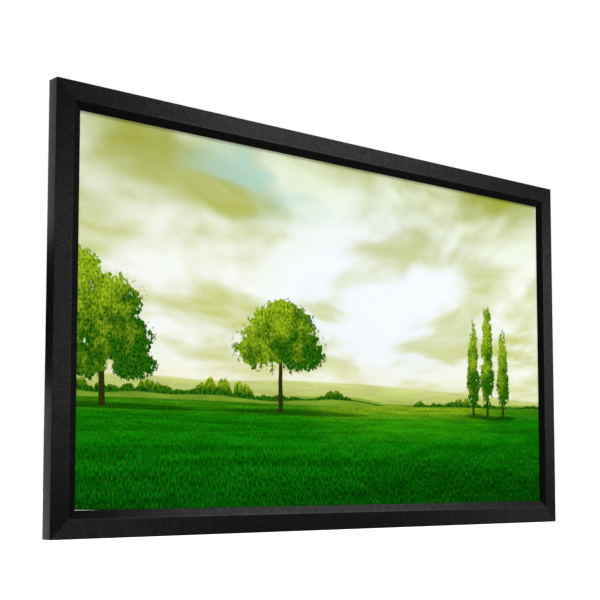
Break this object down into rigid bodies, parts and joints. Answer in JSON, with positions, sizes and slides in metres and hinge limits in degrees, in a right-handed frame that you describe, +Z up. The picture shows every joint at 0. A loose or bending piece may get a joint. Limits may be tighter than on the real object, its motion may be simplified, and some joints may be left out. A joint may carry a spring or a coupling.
{
  "type": "fixed frame projector screen",
  "caption": "Wide wall-hung projection screen: white fabric stretched by rods and springs in a flat black velvet-wrapped frame with a bevelled inner edge.",
  "frame": {"origin": "middle of the screen's width and height, halfway between the frame's front face and the wall", "axes": "+Z up, the picture faces -Y, +X to the right of someone who looks at the picture"},
  "size_m": [2.197, 0.05, 1.305],
  "materials": {
    "velvet_rail": "extruded aluminium wrapped in matt black velvet",
    "screen_fabric": "matt white projection fabric, black on the back",
    "glass_fibre_rod": "drawn glass fibre, satin",
    "zinc_steel": "zinc plated",
    "screw_steel": "black oxide",
    "black_bar": "satin black anodised",
    "bracket_aluminium": "mill finish extrusion"
  },
  "bodies": {
    "root": {"frame_rail_top": "velvet_rail", "frame_rail_right": "velvet_rail", "frame_rail_bottom": "velvet_rail", "frame_rail_left": "velvet_rail", "tension_rod_top": "glass_fibre_rod", "tension_rod_right": "glass_fibre_rod", "tension_rod_bottom": "glass_fibre_rod", "tension_rod_left": "glass_fibre_rod", "corner_plate_top_left": "zinc_steel", "corner_screw_top_left_1": "screw_steel", "corner_screw_top_left_2": "screw_steel", "corner_screw_top_left_3": "screw_steel", "corner_screw_top_left_4": "screw_steel", "corner_plate_top_right": "zinc_steel", "corner_screw_top_right_1": "screw_steel", "corner_screw_top_right_2": "screw_steel", "corner_screw_top_right_3": "screw_steel", "corner_screw_top_right_4": "screw_steel", "corner_plate_bottom_right": "zinc_steel", "corner_screw_bottom_right_1": "screw_steel", "corner_screw_bottom_right_2": "screw_steel", "corner_screw_bottom_right_3": "screw_steel", "corner_screw_bottom_right_4": "screw_steel", "corner_plate_bottom_left": "zinc_steel", "corner_screw_bottom_left_1": "screw_steel", "corner_screw_bottom_left_2": "screw_steel", "corner_screw_bottom_left_3": "screw_steel", "corner_screw_bottom_left_4": "screw_steel", "projection_fabric": "screen_fabric", "support_bar": "black_bar", "support_angle_top": "zinc_steel", "support_screw_top_wall_1": "screw_steel", "support_screw_top_wall_2": "screw_steel", "support_screw_top_bar_1": "screw_steel", "support_screw_top_bar_2": "screw_steel", "wall_bracket_top_left": "bracket_aluminium", "wall_bracket_top_right": "bracket_aluminium", "support_angle_bottom": "zinc_steel", "support_screw_bottom_wall_1": "screw_steel", "support_screw_bottom_wall_2": "screw_steel", "support_screw_bottom_bar_1": "screw_steel", "support_screw_bottom_bar_2": "screw_steel", "wall_bracket_bottom_left": "bracket_aluminium", "wall_bracket_bottom_right": "bracket_aluminium"}
  },
  "joints": []
}
